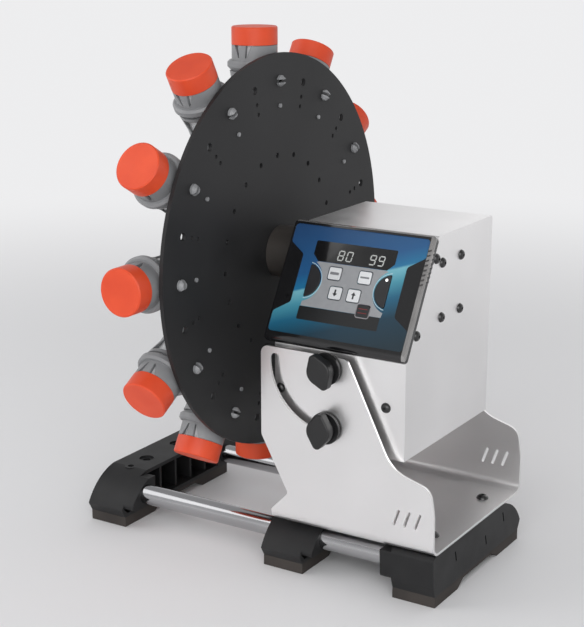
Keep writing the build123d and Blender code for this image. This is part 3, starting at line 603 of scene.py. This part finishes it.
def grip_ribs(material):
    """Slanted ribs on the bezel's right rim."""
    face = max(OUTWARD.dot(v.co) for v in nodes["console_bezel"].data.vertices)
    base = (face - PANEL_HEIGHT) / MM
    wide, tall = GRIP_SIZE
    left = BEZEL_LENGTH - RIM_RIGHT + GRIP_INSET
    for index in range(GRIP_COUNT):
        low = GRIP_LOW + index * GRIP_PITCH
        outline = [
            (left, low),
            (left + wide, low + GRIP_SLANT),
            (left + wide, low + GRIP_SLANT + tall),
            (left, low + tall),
        ]
        plate(f"grip_{index}", [outline], material, "head", base, GRIP_LIFT, GRIP_DEPTH)


def arrows(material):
    """Down and up arrows on two keys."""
    shaft, head, tall, middle = ARROW
    for name, way in (("key_down", -1), ("key_up", 1)):
        u, s = SQUARE_KEYS[name]
        points = [
            (-shaft, -tall),
            (shaft, -tall),
            (shaft, middle),
            (head, middle),
            (0.0, tall),
            (-head, middle),
            (-shaft, middle),
        ]
        outline = [(u + du, s + way * ds) for du, ds in points]
        plate(f"arrow_{name}", [outline], material, name, key_top(name), MARK_LIFT, MARK_DEPTH)


def key_bands(grey, red):
    """Printed bands on the keys that carry no arrow."""
    width = KEY_SIZE[0] - BAND_MARGIN
    for name, (tall, rows) in BANDS.items():
        u, s = SQUARE_KEYS[name]
        material = red if name == "key_power" else grey
        for index, ds in enumerate(rows):
            outline = rounded_box(u - width / 2, s + ds - tall / 2, width, tall, tall / 4)
            band = f"band_{name}_{index}"
            plate(band, [outline], material, name, key_top(name), MARK_LIFT, MARK_DEPTH)


def segment_outline(letter):
    """Corners of one segment of a digit, in the digit's own upright box."""
    half = DIGIT_STROKE / 2
    left, right = half, DIGIT_WIDTH - half
    rows = {"a": DIGIT_HEIGHT - half, "g": DIGIT_HEIGHT / 2, "d": half}
    gap = DIGIT_GAP
    if letter in rows:
        s = rows[letter]
        return [
            (left + gap, s),
            (left + gap + half, s + half),
            (right - gap - half, s + half),
            (right - gap, s),
            (right - gap - half, s - half),
            (left + gap + half, s - half),
        ]
    u = left if letter in "ef" else right
    middle = DIGIT_HEIGHT / 2
    low, high = (half, middle) if letter in "ec" else (middle, DIGIT_HEIGHT - half)
    return [
        (u, low + gap),
        (u + half, low + gap + half),
        (u + half, high - gap - half),
        (u, high - gap),
        (u - half, high - gap - half),
        (u - half, low + gap + half),
    ]


def digits(glow):
    """Lit digits behind the display window's surface."""
    for index, (character, left) in enumerate(DIGITS):
        for letter in SEGMENTS[character]:
            corners = segment_outline(letter)
            outline = [(left + u + DIGIT_SLANT * s, DIGIT_LOW + s) for u, s in corners]
            name = f"digit_{index}_{letter}"
            plate(name, [outline], glow, lift=DIGIT_LIFT, depth=DIGIT_DEPTH)


def turned(name, profile, centre, axis, material, body):
    """Closed solid of revolution from (radius, distance along the axis), ends on the axis."""
    along = axis.normalized()
    side = along.orthogonal().normalized()
    third = along.cross(side)
    angles = [2 * math.pi * i / TURN_STEPS for i in range(TURN_STEPS)]
    ways = [math.cos(t) * side + math.sin(t) * third for t in angles]
    shape = bmesh.new()
    rings = []
    for radius, distance in profile:
        middle = centre + along * distance
        if radius == 0.0:
            rings.append([shape.verts.new(middle)] * TURN_STEPS)
        else:
            rings.append([shape.verts.new(middle + radius * way) for way in ways])
    for low, high in zip(rings, rings[1:]):
        for i in range(TURN_STEPS):
            j = (i + 1) % TURN_STEPS
            corners = list(dict.fromkeys([low[i], low[j], high[j], high[i]]))
            if len(corners) > 2:
                shape.faces.new(corners)
    for face in shape.faces:
        face.smooth = True
    finish_mesh(name, shape, material, body)


def status_light(glow):
    """Small domed light in the start key."""
    radius = LED_RADIUS * MM
    rise = LED_RISE * radius
    turns = [math.pi / 2 * i / DOME_STEPS for i in range(DOME_STEPS)]
    dome = [(radius * math.cos(t), rise * math.sin(t)) for t in turns]
    centre = on_slope(*LED_PLACE, key_top("key_start"))
    root = -LED_ROOT * MM
    profile = [(0.0, root), (radius, root), *dome, (0.0, rise)]
    turned("status_light", profile, centre, OUTWARD, glow, "key_start")


def console_graphics():
    grey = ink("ink_field", linear(150, 152, 155), 0.4)
    # Dark grey of the key outlines: painted shade round the keys
    dark = ink("key_outline_shade", linear(62, 64, 68), 0.4)
    pale = ink("ink_pale", linear(176, 202, 212), 0.35)
    black = ink("ink_black", linear(20, 22, 24), 0.3)
    band = ink("ink_band", linear(122, 124, 128), 0.4)
    red = ink("ink_red", linear(120, 40, 40), 0.4)
    light_frame = ink("ink_light_frame", linear(140, 132, 136), 0.4)
    key_field(grey)
    key_frames(dark, light_frame)
    halos(pale)
    arrows(ink("ink_arrow", linear(34, 35, 38), 0.35))
    key_bands(band, red)
    plate("name_bar", [rounded_box(*BAR, BAR_CORNER)], black, lift=BAR_LIFT, depth=BAR_DEPTH)
    grip_ribs(ink("grip_dark", linear(58, 57, 57), 0.35))
    digits(lit("digit_glow", linear(168, 170, 168), 0.3))
    status_light(lit("led_glow", linear(240, 242, 240), 0.9))


# Knobs ---------------------------------------------------------------------------------------


def upright_knobs():
    """The two winged knobs, each turned on its own axis so that its wings stand upright."""
    for name in ("pivot_knob", "clamp_knob"):
        low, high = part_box(name)
        middle = Matrix.Translation((low + high) / 2)
        turn = middle @ Matrix.Rotation(KNOB_TURN, 4, "Y") @ middle.inverted()
        mesh = nodes[name].data.copy()
        mesh.transform(turn)
        piece = bpy.data.objects.new(f"{name}_upright", mesh)
        bpy.context.collection.objects.link(piece)
        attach(piece, name)
        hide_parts(name)


# Stage ---------------------------------------------------------------------------------------


def area_light(name, place, size, power):
    lamp = bpy.data.lights.new(name, "AREA")
    lamp.shape = "RECTANGLE"
    lamp.size, lamp.size_y = size
    lamp.energy = power
    light = bpy.data.objects.new(name, lamp)
    bpy.context.collection.objects.link(light)
    light.location = place
    aim = LIGHT_TARGET - Vector(place)
    light.rotation_euler = aim.to_track_quat("-Z", "Y").to_euler()


def pale_share(tree, *ways):
    """Share of the rays that see the pale surround itself: 1 for the named kinds, else 0."""
    path = tree.nodes.new("ShaderNodeLightPath")
    share = path.outputs[ways[0]]
    for way in ways[1:]:
        either = tree.nodes.new("ShaderNodeMath")
        either.operation = "MAXIMUM"
        tree.links.new(share, either.inputs[0])
        tree.links.new(path.outputs[way], either.inputs[1])
        share = either.outputs["Value"]
    return share


def floor_material():
    """Pale floor that runs out into the surround, away from the object."""
    shader = Shader("floor_pale", PALE, 0.7)
    shader.vary_roughness(shader.noise(3.0, 2.0), 0.65, 0.75)
    shader.vary_colour(shader.noise(2.0, 2.0), tuple(0.99 * c for c in PALE), PALE)
    reach = shader.node("ShaderNodeVectorMath", Vector=shader.coordinates)
    reach.operation = "LENGTH"
    fade = shader.node("ShaderNodeMapRange", Value=reach.outputs["Value"])
    fade.interpolation_type = "SMOOTHSTEP"
    fade.inputs["From Min"].default_value, fade.inputs["From Max"].default_value = FLOOR_FADE
    tree = shader.tree
    share = pale_share(tree, "Is Camera Ray", "Is Glossy Ray")
    seen = shader.calculate("MULTIPLY", fade.outputs["Result"], share)
    glow = shader.node("ShaderNodeEmission", Color=(*PALE, 1.0), Strength=1.0)
    mix = shader.node("ShaderNodeMixShader", Fac=seen)
    tree.links.new(shader.principled.outputs["BSDF"], mix.inputs[1])
    tree.links.new(glow.outputs["Emission"], mix.inputs[2])
    tree.links.new(mix.outputs["Shader"], tree.nodes["Material Output"].inputs["Surface"])
    return shader.material


def studio_world():
    """Surround that is pale where it is seen and softer where it lights."""
    world = bpy.data.worlds.new("studio")
    world.use_nodes = True
    tree = world.node_tree
    background = tree.nodes["Background"]
    background.inputs["Color"].default_value = (*PALE, 1.0)
    direction = tree.nodes.new("ShaderNodeTexCoord").outputs["Generated"]
    height = tree.nodes.new("ShaderNodeSeparateXYZ")
    tree.links.new(direction, height.inputs["Vector"])
    overhead = tree.nodes.new("ShaderNodeMapRange")
    overhead.inputs["From Min"].default_value, overhead.inputs["From Max"].default_value = SKY_RISE
    overhead.inputs["To Min"].default_value = 1.0
    overhead.inputs["To Max"].default_value = OVERHEAD
    tree.links.new(height.outputs["Z"], overhead.inputs["Value"])
    strength = tree.nodes.new("ShaderNodeMapRange")
    strength.inputs["To Min"].default_value = AMBIENT
    seen = pale_share(tree, "Is Camera Ray", "Is Glossy Ray", "Is Transmission Ray")
    tree.links.new(seen, strength.inputs["Value"])
    tree.links.new(overhead.outputs["Result"], strength.inputs["To Max"])
    tree.links.new(strength.outputs["Result"], background.inputs["Strength"])
    bpy.context.scene.world = world


def make_stage():
    bpy.ops.mesh.primitive_plane_add(size=FLOOR_SIZE, location=(0.0, 0.0, -FLOOR_DROP))
    floor = bpy.context.object
    floor.name = "floor"
    floor.data.materials.append(floor_material())
    studio_world()
    for lamp in LAMPS:
        area_light(*lamp)


def make_camera():
    data = bpy.data.cameras.new("photo_camera")
    data.sensor_width = CAMERA_SENSOR
    data.lens = CAMERA_LENS
    camera = bpy.data.objects.new("photo_camera", data)
    bpy.context.collection.objects.link(camera)
    camera.location = CAMERA_PLACE
    camera.rotation_euler = (math.pi / 2 - CAMERA_PITCH, 0.0, CAMERA_YAW)
    scene = bpy.context.scene
    scene.camera = camera
    scene.view_settings.view_transform = "Standard"


dress_all()
console_graphics()
upright_knobs()
make_stage()
make_camera()
